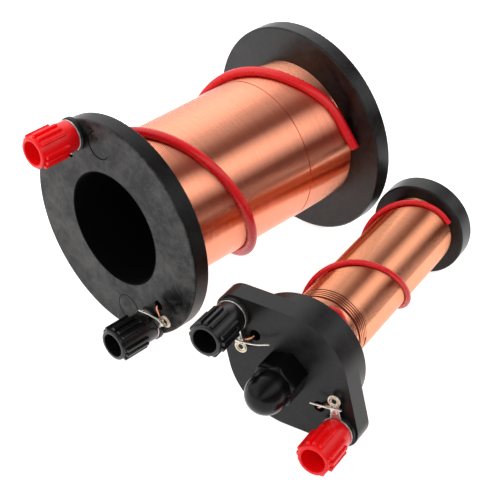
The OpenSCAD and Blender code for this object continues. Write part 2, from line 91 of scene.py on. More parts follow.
class CoilSizes(bpy.types.PropertyGroup):
    """Sizes of the bobbins and windings."""

    flange_thickness: length("Flange", "Thickness of the secondary's flanges", 6.0)
    secondary_length: length("Secondary length", "Length over both flanges", 90.0)
    bore_d: length("Bore", "Diameter of the secondary's bore", 39.0)
    bore_edge: length("Bore edge", "Width of the dull ring round the bore", 0.4)
    # The dark sheets in the flanges' bores, which paint the shade inside them
    bore_shade: length("Bore lining", "How far the lining stands into the bore", 0.1)
    bore_shade_gap: length("Lining gap", "Gap between the lining and the bore's wall", 0.01)
    bore_shade_inset: length("Lining inset", "Distance of the lining from a flange's faces", 0.25)
    pin_mark_d: length("Pin mark", "Diameter of the moulding pin's marks on the face", 9.5)
    pin_mark_r: length("Pin mark place", "Distance of those marks from the axis", 29.5)
    boss_length: length("Boss", "Depth of the primary's boss behind its face", 12.0)
    primary_length: length("Primary length", "Length from the face to the back of the end disc", 98.0)
    end_disc_thickness: length("End disc", "Thickness of the primary's end disc", 7.3)
    secondary_winding_r: length("Secondary winding", "Radius over the secondary's windings", 25.5)
    secondary_inner_r: length("Secondary layers", "Radius under the secondary's windings", 21.55)
    secondary_wire_d: length("Secondary wire", "Diameter of the secondary's wire", 0.5)
    secondary_crown: length("Secondary crown", "Height of a turn's crown over the grooves beside it", 0.10)
    last_layer_start: length("Last layer", "Depth behind the flange where the last layer starts", 58.3)
    last_layer_step: length("Last layer step", "Height of the last layer over the one below", 0.1)
    last_layer_gap: length("Last layer gap", "Width of the gap where the last layer starts", 0.25)
    primary_winding_r: length("Primary winding", "Radius over the primary's windings", 12.5)
    primary_inner_r: length("Primary layers", "Radius under the primary's windings", 6.35)
    primary_wire_d: length("Primary wire", "Diameter of the primary's wire", 0.6)
    primary_crown: length("Primary crown", "Height of a turn's crown over the grooves beside it", 0.14)
    loose_turns: IntProperty(
        name="Loose turns", description="Turns of the primary that lie apart", default=5, min=1,
    )
    loose_start: length("Loose start", "Where the loose turns start, behind the boss", 10.9)
    loose_pitch: length("Loose pitch", "Distance from one loose turn to the next", 1.0)
    loose_depth: length("Loose depth", "Depth of the gaps between the loose turns", 0.26)


class MarkerSizes(bpy.types.PropertyGroup):
    """Sizes and routes of the red tubes that show each winding's direction."""

    secondary_d: length("Secondary tube", "Outside diameter of the secondary's tube", 3.2)
    secondary_hole_r: length("Secondary hole", "Distance of the tube's hole from the axis", 28.16)
    secondary_hole_turn: bearing("Secondary hole turn", "Angle from the red post to the tube's hole", 15)
    secondary_lift: length("Secondary lift", "Gap between the tube and the winding under it", 0.016)
    secondary_first: length("Secondary start", "Depth behind the flange where the tube starts to wind", 2.4)
    secondary_pitch: length("Secondary pitch", "Depth that the tube gains in a turn", 52.1)
    secondary_turns: turn_count("Secondary turns", "Turns of the tube", 1.385)
    secondary_stop: length("Secondary stop", "Gap between the tube and the rear flange", 0.128)
    secondary_bend: length("Secondary bend", "Depth over which the tube turns aside there", 0.8)
    secondary_free: length("Secondary free end", "Length of the tube's straight free end", 9.1)
    primary_d: length("Primary tube", "Outside diameter of the primary's tube", 1.8)
    primary_hole_r: length("Primary hole", "Distance of the tube's hole from the axis", 14.33)
    primary_lift: length("Primary lift", "Gap between the tube and the winding under it", 0.036)
    primary_first: length("Primary start", "Depth behind the boss where the tube starts", 0.9)
    primary_settle: length("Primary settling", "Depth that the tube gains before it winds", 5.2)
    primary_pitch: length("Primary pitch", "Depth that the tube gains in a turn", 41.5)
    primary_turns: turn_count("Primary turns", "Turns of the tube", 2.38)
    primary_stop: length("Primary stop", "Gap between the tube and the end disc", 0.108)
    primary_bend: length("Primary bend", "Depth over which the tube turns aside there", 1.8)
    primary_free: length("Primary free end", "Length of the tube's straight free end", 1.8)


class PostSizes(bpy.types.PropertyGroup):
    """Sizes of a binding post, its solder lug and its lead."""

    knob_base: length("Knob base", "Height of the knob's underside above the face", 2.1)
    knob_d: length("Knob diameter", "Diameter of the knob without its ribs", 10.4)
    knob_length: length("Knob length", "Length of the knob", 14.8)
    base_round: length("Base rounding", "Rounding of the knob's underside", 0.3)
    recess_d: length("Recess", "Diameter of the recess in the open end", 8.0)
    recess_floor: length("Recess floor", "Height of the recess's floor", 6.8)
    recess_lip: length("Recess lip", "Chamfer at the recess's mouth", 0.15)
    recess_fillet: length("Recess fillet", "Fillet round the recess's floor", 0.5)
    rim_chamfer: length("Rim chamfer", "Rounding of the open rim", 0.5)
    insert_d: length("Insert pocket", "Diameter of the pocket for the insert", 6.5)
    insert_length: length("Insert length", "Depth of the insert's pocket", 5.5)
    rib_height: length("Rib height", "Height of the grip ribs", 1.0)
    rib_width: length("Rib width", "Width of the grip ribs", 1.2)
    rib_length: length("Rib length", "Length of the grip ribs", 9.2)
    rib_setback: length("Rib setback", "Distance from the open rim to the ribs", 1.2)
    rib_round: length("Rib rounding", "Rounding of the ribs' ends", 0.18)
    rib_first: bearing("First rib", "Angle of the first rib in each group", 20)
    rib_spacing: bearing("Rib spacing", "Angle from one rib of a group to the next", 22)
    stud_d: length("Stud", "Diameter of a stud", 4.1)
    collar_d: length("Collar", "Diameter of the collar under a lug", 11.2)
    collar_edge: length("Collar edge", "Chamfer on the collar's upper edge", 0.2)
    lug_height: length("Lug height", "Height of a lug's underside above the face", 1.5)
    lug_thickness: length("Lug", "Thickness of the solder lugs", 0.5)
    lug_edge: length("Lug edge", "Rounding of a lug's edges", 0.08)
    lug_ring_d: length("Lug ring", "Diameter of a lug's ring", 10.4)
    lug_neck: length("Lug neck", "Width of a lug's neck", 3.0)
    eyelet_d: length("Eyelet", "Outside diameter of an eyelet", 4.2)
    eyelet_hole_d: length("Eyelet hole", "Hole in an eyelet", 1.8)
    eyelet_rim_d: length("Eyelet rim", "Thickness of the rim on an eyelet", 0.62)
    solder_setback: length("Solder place", "Distance from an eyelet's middle to its lump of solder", 3.5)
    solder_size: FloatVectorProperty(
        name="Solder", description="Half sizes of a lump of solder along, across and over its lug",
        default=(2.0 * MM, 1.35 * MM, 0.6 * MM), subtype="XYZ", unit="LENGTH", precision=5,
    )
    lead_d: length("Lead", "Diameter of the lead wires", 0.8)
    tail_d: length("Tinned end", "Diameter of a lead's tinned end", 0.64)


class CapSizes(bpy.types.PropertyGroup):
    """Sizes of the cap on the iron core."""

    face_gap: length("Face gap", "Gap between the cap and the plate", 0.1)
    across_flats: length("Across flats", "Size of the hexagon", 13.2)
    hex_length: length("Hexagon length", "Length of the hexagon", 9.0)
    chamfer: length("Chamfer", "Chamfer on the hexagon's front corners", 0.7)
    edge: length("Edge", "Rounding of the hexagon's two ends", 0.2)
    dome_d: length("Dome", "Diameter of the dome", 13.0)
    dome_foot: length("Dome foot", "Height of the dome's first straight stretch", 0.4)
    cap_length: length("Cap length", "Length of the whole cap", 19.0)
    seat_d: length("Seat", "Diameter of the core's seat", 9.1)
    seat_depth: length("Seat depth", "Depth of the core's seat", 8.0)
    turn: bearing("Turn", "Turn of the hexagon about its axis", 17)


class Finishes(bpy.types.PropertyGroup):
    """Colours of the materials."""

    moulded_black: colour("Moulded black", "Satin black of the bobbins", (0.006, 0.006, 0.0063))
    moulded_flow: colour("Flow marks", "Paler streaks in the moulding", (0.034, 0.033, 0.032))
    # The flanges' tones: their mottling is real scuffing and flow, and the paleness they give the front face
    # is a painted sheen; off the face they are darkened as painted shade
    face_dark: colour("Face dark", "Darkest tone of the scuffed flanges", (0.002, 0.002, 0.0021))
    face_pale: colour("Face pale", "Palest tone of the scuffed flanges", (0.068, 0.066, 0.0645))
    # Near-black and dull: on the bores it also paints their shade; the pin marks' lines use it too
    bore_black: colour("Bore black", "The dull bores of the tubes", (0.002, 0.002, 0.002))
    eyelet_tan: colour("Eyelet tan", "Flux-stained rims of the eyelets", (0.70, 0.56, 0.36))
    gloss_black: colour("Gloss black", "The cap on the core", (0.003, 0.003, 0.0035))
    knob_black: colour("Knob black", "The black knobs", (0.006, 0.006, 0.0063))
    knob_red: colour("Knob red", "The red knobs", (0.96, 0.004, 0.007))
    sleeve_red: colour("Sleeve red", "The red marker tubes", (0.84, 0.008, 0.014))
    secondary_copper: colour("Secondary copper", "Enamelled wire of the secondary", (0.83, 0.335, 0.208))
    primary_copper: colour("Primary copper", "Enamelled wire of the primary", (0.73, 0.30, 0.165))
    # Painted shade: the dark colour of the ring under the primary's loose turns, standing for the shade in
    # the gaps between them
    gap_shade_paint: colour("Gap_shade", "Dark varnish between the primary's loose turns", (0.11, 0.018, 0.010))
    tin: colour("Tin", "Tinned lugs and solder", (0.78, 0.75, 0.70))
    steel: colour("Steel", "The studs", (0.56, 0.56, 0.57))
    brass: colour("Brass", "The threaded inserts", (0.72, 0.52, 0.24))
    iron: colour("Iron", "The soft-iron core", (0.24, 0.23, 0.22))


class Studio(bpy.types.PropertyGroup):
    """The light tent, the table and the camera."""

    tent_r: length("Tent radius", "Radius of the half-round tent", 360.0)
    tent_length: length("Tent length", "Length of the tent", 2000.0)
    tent_turn: bearing("Tent turn", "Turn of the tent towards the camera", 7)
    gap_tint: colour("Gap tint", "Warm tone of the room in the tent's dark gaps", (1.0, 0.55, 0.50))
    table_white: colour("Table white", "Colour of the table", (0.86, 0.86, 0.86))
    table_glow: FloatProperty(
        name="Table glow", description="Light that the table adds to the camera's view of it",
        default=0.8, min=0.0,
    )
    table_drop: length("Table drop", "Gap between the table and the coils on it", 0.05)
    card_brown: colour("Card brown", "Colour of the dark card on the table", (0.36, 0.25, 0.23))
    card_near: length("Card near edge", "Where the dark card starts, to the right of the coils", 150.0)
    card_far: length("Card far edge", "Where the dark card ends", 360.0)
    card_lift: length("Card lift", "Height of the dark card", 0.3)
    camera_at: FloatVectorProperty(
        name="Camera", description="Place of the camera",
        default=(0.285037, -0.297293, 0.327856), subtype="TRANSLATION", unit="LENGTH", precision=6,
    )
    camera_aim: FloatVectorProperty(
        name="Aim", description="Direction that the camera looks in",
        default=(-0.569139, 0.568948, -0.593615), subtype="DIRECTION", precision=6,
    )
    camera_range: length("Camera range", "How far the camera sees", 20000.0)
    lens: FloatProperty(
        name="Lens", description="Focal length on a 36 mm sensor", default=112.906, unit="CAMERA",
    )


class InductionCoil(bpy.types.PropertyGroup):
    """All settings of the coil set."""

    coil: PointerProperty(type=CoilSizes)
    marker: PointerProperty(type=MarkerSizes)
    post: PointerProperty(type=PostSizes)
    cap: PointerProperty(type=CapSizes)
    finish: PointerProperty(type=Finishes)
    studio: PointerProperty(type=Studio)


def settings():
    """The settings of this scene's coil set."""
    return bpy.context.scene.induction_coil


# Places

def polar(radius, angle, z=0.0):
    """A point at a radius and an angle round the axis."""
    return Vector((radius * math.cos(angle), radius * math.sin(angle), z))


def arc(radius, first, last, steps, middle=Vector()):
    """Points from one angle to another, both included."""
    return [middle + polar(radius, first + (last - first) * step / steps) for step in range(steps + 1)]


def circle(radius, steps, middle=Vector()):
    """Points round a circle, each once."""
    return arc(radius, 0.0, TAU, steps, middle)[:-1]


def face_frame(coil):
    """A coil's terminal face: X right, Y up, Z out of the face, origin on its axis."""
    black, red = (JOINTS[coil + shade + "_turn"] for shade in ("_black", "_red"))
    out = Vector(black["axis"]).normalized()
    right = Vector((0, 0, 1)).cross(out).normalized()
    up = out.cross(right)
    middle = (Vector(black["pos_m"]) + Vector(red["pos_m"])) / 2
    place = Matrix((right, up, out)).transposed().to_4x4()
    place.translation = middle - out * settings().post.knob_base
    return place


def coil_of(post):
    """The coil that a post stands on."""
    return post.split("_")[0]


def post_spot(post):
    """A post's distance from its coil's axis, and its angle on the face."""
    at = face_frame(coil_of(post)).inverted() @ Vector(JOINTS[post + "_turn"]["pos_m"])
    return math.hypot(at.x, at.y), math.atan2(at.y, at.x)


def post_frame(post):
    """A post's place on its face, with X straight outward."""
    reach, angle = post_spot(post)
    turned = Matrix.Rotation(angle, 4, "Z") @ Matrix.Translation((reach, 0, 0))
    return face_frame(coil_of(post)) @ turned


# Shapes

def even(radius):
    """One radius at every angle."""
    return lambda angle: radius


def lofted(rings, columns):
    """A skin through rings, each a height and a radius by angle, closed at both ends."""
    bm = bmesh.new()
    bmesh.ops.create_circle(bm, segments=columns, radius=1.0)
    loop = list(bm.edges)
    ring_verts = list(bm.verts)
    for index, (height, radius) in enumerate(rings):
        if index:
            grown = bmesh.ops.extrude_edge_only(bm, edges=loop)["geom"]
            ring_verts = [item for item in grown if isinstance(item, bmesh.types.BMVert)]
            fresh = set(ring_verts)
            loop = [
                item for item in grown
                if isinstance(item, bmesh.types.BMEdge) and fresh.issuperset(item.verts)
            ]
        for vert in ring_verts:
            angle = math.atan2(vert.co.y, vert.co.x)
            vert.co = polar(radius(angle), angle, height)
        if index == 0:
            bmesh.ops.edgeloop_fill(bm, edges=loop)
    bmesh.ops.edgeloop_fill(bm, edges=loop)
    return bm


def ring_wall(outline, steps=128):
    """A closed wall round the axis, from an outline of depths and radii."""
    bm = bmesh.new()
    profile = [bm.verts.new((radius, 0.0, -depth)) for depth, radius in outline]
    edges = [bm.edges.new((profile[k], profile[k - 1])) for k in range(len(profile))]
    bmesh.ops.spin(
        bm, geom=profile + edges, cent=(0, 0, 0), axis=(0, 0, 1),
        angle=TAU, steps=steps, use_merge=True,
    )
    bmesh.ops.remove_doubles(bm, verts=bm.verts, dist=1e-6)
    return bm


def swept(points, diameter, rim_sides=2):
    """A round wire along a path, with closed ends."""
    data = bpy.data.curves.new("path", "CURVE")
    data.dimensions = "3D"
    data.bevel_depth = diameter / 2
    data.bevel_resolution = rim_sides
    data.use_fill_caps = True
    spline = data.splines.new("POLY")
    spline.points.add(len(points) - 1)
    for point, place in zip(spline.points, points):
        point.co = (*place, 1.0)
    return mesh_of(data)


def flat_sheet(outlines, thickness, edge):
    """A flat sheet with an outline and holes, and slightly rounded edges."""
    data = bpy.data.curves.new("outline", "CURVE")
    data.dimensions = "2D"
    data.fill_mode = "BOTH"
    data.extrude = thickness / 2 - edge
    data.bevel_depth = edge
    data.bevel_resolution = 1
    data.offset = -edge
    for outline in outlines:
        spline = data.splines.new("POLY")
        spline.points.add(len(outline) - 1)
        for point, place in zip(spline.points, outline):
            point.co = (place.x, place.y, 0.0, 1.0)
        spline.use_cyclic_u = True
    return mesh_of(data)


def mesh_of(curve):
    """The curve's surface as a bmesh; the curve itself is removed."""
    holder = bpy.data.objects.new("holder", curve)
    mesh = bpy.data.meshes.new_from_object(holder)
    bm = bmesh.new()
    bm.from_mesh(mesh)
    bpy.data.objects.remove(holder)
    bpy.data.curves.remove(curve)
    bpy.data.meshes.remove(mesh)
    bmesh.ops.remove_doubles(bm, verts=bm.verts, dist=1e-7)
    return bm


def piece(name, bm, place, body, material, nodes=(), sharp=40):
    """Finish an object: placed in its mesh, riding on a body, standing for CAD nodes."""
    bmesh.ops.transform(bm, matrix=place, verts=bm.verts)
    bmesh.ops.recalc_face_normals(bm, faces=bm.faces)
    mesh = bpy.data.meshes.new(name)
    bm.to_mesh(mesh)
    bm.free()
    mesh.shade_smooth()
    mesh.set_sharp_from_angle(angle=math.radians(sharp))
    mesh.materials.append(material)
    item = bpy.data.objects.new(name, mesh)
    bpy.context.scene.collection.objects.link(item)
    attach(item, body)
    if nodes:
        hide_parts(*nodes)


def dress(node, material):
    """Give a CAD node its finish; it keeps its shape."""
    item = frame["nodes"][node]
    item.data.materials.clear()
    item.data.materials.append(material)


# Shader nodes

# A Mix node's colour sockets share their names with its number sockets, so they go by place
MIX_FIRST, MIX_SECOND, MIX_RESULT = 6, 7, 2


def feed(tree, socket, value):
    """A socket fed by another socket, or set to a plain value."""
    if isinstance(value, bpy.types.NodeSocket):
        tree.links.new(value, socket)
    else:
        socket.default_value = value


def connect(tree, item, **values):
    """A node's properties set and its inputs fed, by name with _ for a space."""
    for key, value in values.items():
        if hasattr(item, key):
            setattr(item, key, value)
        else:
            feed(tree, item.inputs[key.replace("_", " ")], value)
    return item


def add(tree, kind, **values):
    """A new shader node with its properties and inputs."""
    return connect(tree, tree.nodes.new(kind), **values)


def calculated(tree, operation, first, second):
    """The result of a calculation with two numbers or sockets."""
    item = add(tree, "ShaderNodeMath", operation=operation)
    feed(tree, item.inputs[0], first)
    feed(tree, item.inputs[1], second)
    return item.outputs["Value"]


def scaled(tree, vector, factors):
    """A vector with each of its three parts multiplied."""
    item = add(tree, "ShaderNodeVectorMath", operation="MULTIPLY")
    feed(tree, item.inputs[0], vector)
    feed(tree, item.inputs[1], factors)
    return item.outputs["Vector"]


def ranged(tree, value, low=0.0, high=1.0, to_low=0.0, to_high=1.0):
    """A value mapped from one range to another."""
    item = add(
        tree, "ShaderNodeMapRange", Value=value,
        From_Min=low, From_Max=high, To_Min=to_low, To_Max=to_high,
    )
    return item.outputs["Result"]


def mixed(tree, factor, first, second, blend_type="MIX"):
    """Two colours mixed by a factor."""
    item = add(tree, "ShaderNodeMix", data_type="RGBA", blend_type=blend_type, Factor=factor)
    feed(tree, item.inputs[MIX_FIRST], first)
    feed(tree, item.inputs[MIX_SECOND], second)
    return item.outputs[MIX_RESULT]


def rgba(linear):
    """A colour with full cover."""
    return (*linear, 1.0)


def effect_group(name, inputs, outputs):
    """An empty node group with named sockets, and its two end nodes."""
    group = bpy.data.node_groups.new(name, "ShaderNodeTree")
    for label, kind, default in inputs:
        socket = group.interface.new_socket(label, in_out="INPUT", socket_type=kind)
        socket.default_value = default
    for label, kind in outputs:
        group.interface.new_socket(label, in_out="OUTPUT", socket_type=kind)
    start = group.nodes.new("NodeGroupInput")
    end = group.nodes.new("NodeGroupOutput")
    return group, start.outputs, end


def flow_marks():
    """Pale streaks and cloudy patches where plastic flowed, and a fine matt grain."""
    if "Flow marks" in bpy.data.node_groups:
        return bpy.data.node_groups["Flow marks"]
    group, start, end = effect_group(
        "Flow marks",
        (
            ("Vector", "NodeSocketVector", (0.0, 0.0, 0.0)),
            ("Base", "NodeSocketColor", (0.03, 0.03, 0.03, 1.0)),
            ("Streak", "NodeSocketColor", (0.06, 0.06, 0.06, 1.0)),
            ("Patch scale", "NodeSocketFloat", 90.0),
            ("Amount", "NodeSocketFloat", 0.8),
        ),
        (("Color", "NodeSocketColor"), ("Roughness", "NodeSocketFloat"), ("Height", "NodeSocketFloat")),
    )
    patches = add(
        group, "ShaderNodeTexNoise", Vector=start["Vector"], Scale=start["Patch scale"],
        Detail=10.0, Roughness=0.78, Distortion=0.25,
    ).outputs["Fac"]
    amount = calculated(group, "MULTIPLY", ranged(group, patches, 0.42, 0.63), start["Amount"])
    grain = add(group, "ShaderNodeTexNoise", Vector=start["Vector"], Scale=2600.0, Detail=2.0)
    connect(
        group, end, Color=mixed(group, amount, start["Base"], start["Streak"]),
        Roughness=ranged(group, patches, 0.3, 0.7, 0.24, 0.44), Height=grain.outputs["Fac"],
    )
    return group


def handling_wear():
    """Cloudy gloss and faint scuffs on a handled surface."""
    if "Handling wear" in bpy.data.node_groups:
        return bpy.data.node_groups["Handling wear"]
    group, start, end = effect_group(
        "Handling wear",
        (
            ("Vector", "NodeSocketVector", (0.0, 0.0, 0.0)),
            ("Color", "NodeSocketColor", (0.5, 0.5, 0.5, 1.0)),
            ("Shade", "NodeSocketFloat", 0.85),
            ("Gloss", "NodeSocketFloat", 0.2),
            ("Dullness", "NodeSocketFloat", 0.35),
            ("Scale", "NodeSocketFloat", 300.0),
        ),
        (("Color", "NodeSocketColor"), ("Roughness", "NodeSocketFloat"), ("Height", "NodeSocketFloat")),
    )
    clouds = add(
        group, "ShaderNodeTexNoise", Vector=start["Vector"], Scale=start["Scale"], Detail=4.0, Roughness=0.6,
    ).outputs["Fac"]
    tone = ranged(group, clouds, 0.3, 0.7, 1.0, start["Shade"])
    connect(
        group, end, Color=mixed(group, 1.0, start["Color"], tone, "MULTIPLY"),
        Roughness=ranged(group, clouds, 0.3, 0.7, start["Gloss"], start["Dullness"]), Height=clouds,
    )
    return group


# Materials

def blank(name):
    """A new material, its node tree and its surface shader."""
    material = bpy.data.materials.new(name)
    material.use_nodes = True
    tree = material.node_tree
    return material, tree, tree.nodes["Principled BSDF"]


def object_place(tree):
    """The place on the object, in the object's own frame."""
    return tree.nodes.new("ShaderNodeTexCoord").outputs["Object"]


def along_axis(tree, where, place):
    """The coordinate in a coil's own frame, with Z along its axis."""
    turned = add(
        tree, "ShaderNodeMapping", vector_type="TEXTURE", Vector=where,
        Location=place.translation, Rotation=place.to_euler(),
    )
    return turned.outputs["Vector"]


def raised(tree, height, distance, strength):
    """The normal of a surface with a fine relief."""
    bump = add(tree, "ShaderNodeBump", Height=height, Distance=distance, Strength=strength)
    return bump.outputs["Normal"]


def moulded_plastic(name, colours, patch_scale, amount, specular, face=None):
    """Satin black moulding with flow marks; a face, when given, holds the arguments that follow the tree in
    the call that keeps the front face pale as a painted sheen and darkens the rest as painted shade.
    """
    if name in bpy.data.materials:
        return bpy.data.materials[name]
    material, tree, shader = blank(name)
    marks = add(
        tree, "ShaderNodeGroup", node_tree=flow_marks(), Vector=object_place(tree),
        Base=rgba(colours[0]), Streak=rgba(colours[1]), Patch_scale=patch_scale, Amount=amount,
    ).outputs
    tone, dull = marks["Color"], marks["Roughness"]
    if face:
        tone, dull, coat = face_sheen_and_shade(tree, *face, tone, dull)
        connect(tree, shader, Coat_Weight=coat, Coat_Roughness=0.45)
    connect(
        tree, shader, Base_Color=tone, Roughness=dull, Specular_IOR_Level=specular,
        Normal=raised(tree, marks["Height"], 0.05 * MM, 0.35),
    )
    return material


def face_sheen_and_shade(tree, place, bore_r, elsewhere, rim_coat, tone, dull):
    """The mottled tone kept on the front face as a painted sheen and darkened off it as painted shade, with a
    dull bore and a coat on the rim.
    """
    face_skin = 0.3 * MM
    here = along_axis(tree, object_place(tree), place)
    height = add(tree, "ShaderNodeSeparateXYZ", Vector=here).outputs["Z"]
    front = calculated(tree, "GREATER_THAN", height, -face_skin)
    across = scaled(tree, here, (1.0, 1.0, 0.0))
    reach = add(tree, "ShaderNodeVectorMath", operation="LENGTH", Vector=across).outputs["Value"]
    outside = calculated(tree, "GREATER_THAN", reach, bore_r)
    # Only the front face outside the bore keeps the pale tone, a painted sheen; the rim, the back, the rear
    # flange and the bore are darkened as painted shade
    scuffs_and_sheen = calculated(tree, "MULTIPLY", front, outside)
    shaded = mixed(tree, 1.0, tone, ranged(tree, scuffs_and_sheen, to_low=elsewhere), "MULTIPLY")
    matt = calculated(tree, "MAXIMUM", dull, calculated(tree, "SUBTRACT", 1.0, outside))
    rim = calculated(tree, "SUBTRACT", outside, scuffs_and_sheen)
    return shaded, matt, calculated(tree, "MULTIPLY", rim, rim_coat)


def worn(name, linear, gloss, dullness, scale, metallic=0.0, shade=0.85, bump=0.02, specular=0.5):
    """A plain material whose gloss and tone vary as a handled piece's do; the bump is in millimetres."""
    if name in bpy.data.materials:
        return bpy.data.materials[name]
    material, tree, shader = blank(name)
    wear = add(
        tree, "ShaderNodeGroup", node_tree=handling_wear(), Vector=object_place(tree),
        Color=rgba(linear), Shade=shade, Gloss=gloss, Dullness=dullness, Scale=scale,
    ).outputs
    connect(
        tree, shader, Base_Color=wear["Color"], Roughness=wear["Roughness"], Metallic=metallic,
        Specular_IOR_Level=specular, Normal=raised(tree, wear["Height"], bump * MM, 0.3),
    )
    return material


def enamelled_copper(coil):
    """Copper whose shade changes a little from turn to turn along the coil's axis."""
    name = coil + "_copper"
    if name in bpy.data.materials:
        return bpy.data.materials[name]
    material, tree, shader = blank(name)
    here = along_axis(tree, object_place(tree), face_frame(coil))
    squeezed = scaled(tree, here, (3.0, 3.0, 1400.0))
    turns = add(tree, "ShaderNodeTexNoise", Vector=squeezed, Scale=1.0, Detail=2.0).outputs["Fac"]
    copper = rgba(getattr(settings().finish, name))
    connect(
        tree, shader, Metallic=1.0, Roughness=ranged(tree, turns, to_low=0.10, to_high=0.18),
        Base_Color=mixed(tree, 1.0, copper, ranged(tree, turns, 0.3, 0.7, 0.88, 1.0), "MULTIPLY"),
    )
    return material


# Bobbins

# The moulding pin's marks: the turn from the black post, where the line starts and ends
# round the mark, and its width in millimetres
PIN_MARKS = ((-20.0, 0.0, 360.0, 0.2), (160.0, 112.5, 326.25, 0.34))


def collar_shape(post):
    """A round washer with a stud hole and a softened upper edge."""
    outer_r, hole_r, edge = post.collar_d / 2, post.stud_d / 2, post.collar_edge
    outline = [
        (post.lug_height, hole_r), (0.0, hole_r), (0.0, outer_r),
        (post.lug_height - edge, outer_r), (post.lug_height, outer_r - edge),
    ]
    return ring_wall([(-height, radius) for height, radius in outline])


class COIL_OT_bobbins(bpy.types.Operator):
    """Finish the moulded bobbins, set dark sheets in their bores as painted shade and lay the posts' collars
    """
    bl_idname = "coil.bobbins"
    bl_label = "Bobbins"

    def execute(self, context):
        coil, finish = settings().coil, settings().finish
        self.finish_flanges(coil, finish)
        smooth = moulded_plastic(
            "plate_plastic", (finish.moulded_black, finish.moulded_flow),
            patch_scale=60.0, amount=0.5, specular=0.22,
        )
        for node in ("primary_base_plate", "primary_end_disc"):
            dress(node, smooth)
        # The bores' near-black dull finish: their dull black with the shade inside them painted in
        dull = worn("bore_plastic", finish.bore_black, gloss=0.6, dullness=0.8, scale=120.0, specular=0.05)
        for node in ("secondary_tube", "primary_tube"):
            dress(node, dull)
        self.shade_bores(coil, dull)
        for post in POSTS:
            piece(
                post + "_washer", collar_shape(settings().post), post_frame(post), coil_of(post),
                smooth, (post + "_collar",),
            )
        self.mark_pins(coil, finish)
        return {"FINISHED"}

    def finish_flanges(self, coil, finish):
        place = face_frame("secondary")
        dull_r = coil.bore_d / 2 + coil.bore_edge
        # Each flange's specular level, the darkening of its parts off the front face as painted shade, and
        # its rim's coat
        for end, specular, elsewhere, rim_coat in (("front", 0.12, 0.12, 0.15), ("rear", 0.3, 0.28, 0.0)):
            scuffs_and_sheen = moulded_plastic(
                end + "_plastic", (finish.face_dark, finish.face_pale), patch_scale=105.0, amount=1.0,
                specular=specular, face=(place, dull_r, elsewhere, rim_coat),
            )
            dress("secondary_%s_flange" % end, scuffs_and_sheen)

    def shade_bores(self, coil, dull):
        outer_r, inner_r = coil.bore_d / 2 - coil.bore_shade_gap, coil.bore_d / 2 - coil.bore_shade
        for end, depth in (("front", 0.0), ("rear", coil.secondary_length - coil.flange_thickness)):
            first = depth + coil.bore_shade_inset
            last = depth + coil.flange_thickness - coil.bore_shade_inset
            # A near-black, dull sheet just inside each flange's bore paints the shade of the bore
            bore_shade = ring_wall([(first, outer_r), (first, inner_r), (last, inner_r), (last, outer_r)])
            piece(
                "secondary_%s_lining" % end, bore_shade, face_frame("secondary"), "secondary",
                dull,
            )

    def mark_pins(self, coil, finish):
        dull = worn("pin_mark", finish.bore_black, gloss=0.6, dullness=0.8, scale=300.0, specular=0.05)
        sides = 64
        for turn, first, last, line in PIN_MARKS:
            middle = polar(coil.pin_mark_r, post_spot("secondary_black")[1] + math.radians(turn))
            steps = round(sides * (last - first) / 360)
            ring = arc(coil.pin_mark_d / 2, math.radians(first), math.radians(last), steps, middle)
            piece(
                "pin_mark_%d" % (turn % 360), swept(ring, line * MM, 1), face_frame("secondary"), "secondary",
                dull,
            )


# Windings

# Points of a turn's crown: shares of its width and of its height
CROWN = ((0.0, 0.0), (0.25, 0.87), (0.5, 1.0), (0.75, 0.87))
WINDING_SIDES = 120


def wound_outline(start, end, outer_r, wire, crown):
    """Outline of close-wound turns side by side, each with a low crown."""
    outline = []
    count = round((end - start) / wire)
    pitch = (end - start) / count
    for turn in range(count):
        for across, rise in CROWN:
            outline.append((start + pitch * (turn + across), outer_r - crown * (1 - rise)))
    outline.append((end, outer_r - crown))
    return outline


def helix(radius, pitch, turns, start, steps=72):
    """Points of a wire wound back from a start depth."""
    points = []
    for step in range(round(turns * steps) + 1):
        turn = step / steps
        points.append(polar(radius, -TAU * turn, -start - pitch * turn))
    return points


class COIL_OT_secondary_winding(bpy.types.Operator):
    """Wind the secondary's layers of fine wire"""
    bl_idname = "coil.secondary_winding"
    bl_label = "Secondary Winding"

    def execute(self, context):
        coil = settings().coil
        wire, crown = coil.secondary_wire_d, coil.secondary_crown
        outer_r, inner_r = coil.secondary_winding_r, coil.secondary_inner_r
        start = coil.flange_thickness
        end = coil.secondary_length - start
        gap_start = start + coil.last_layer_start - coil.last_layer_gap / 2
        gap_end = gap_start + coil.last_layer_gap
        outline = wound_outline(start, gap_start, outer_r, wire, crown)
        outline += [(gap_start, outer_r - wire / 2), (gap_end, outer_r - wire / 2)]
        outline += wound_outline(gap_end, end, outer_r + coil.last_layer_step, wire, crown)
        outline += [(end, inner_r), (start, inner_r)]
        piece(
            "secondary_layers", ring_wall(outline, WINDING_SIDES), face_frame("secondary"), "secondary",
            enamelled_copper("secondary"), ("secondary_winding", "secondary_turns"),
        )
        return {"FINISHED"}


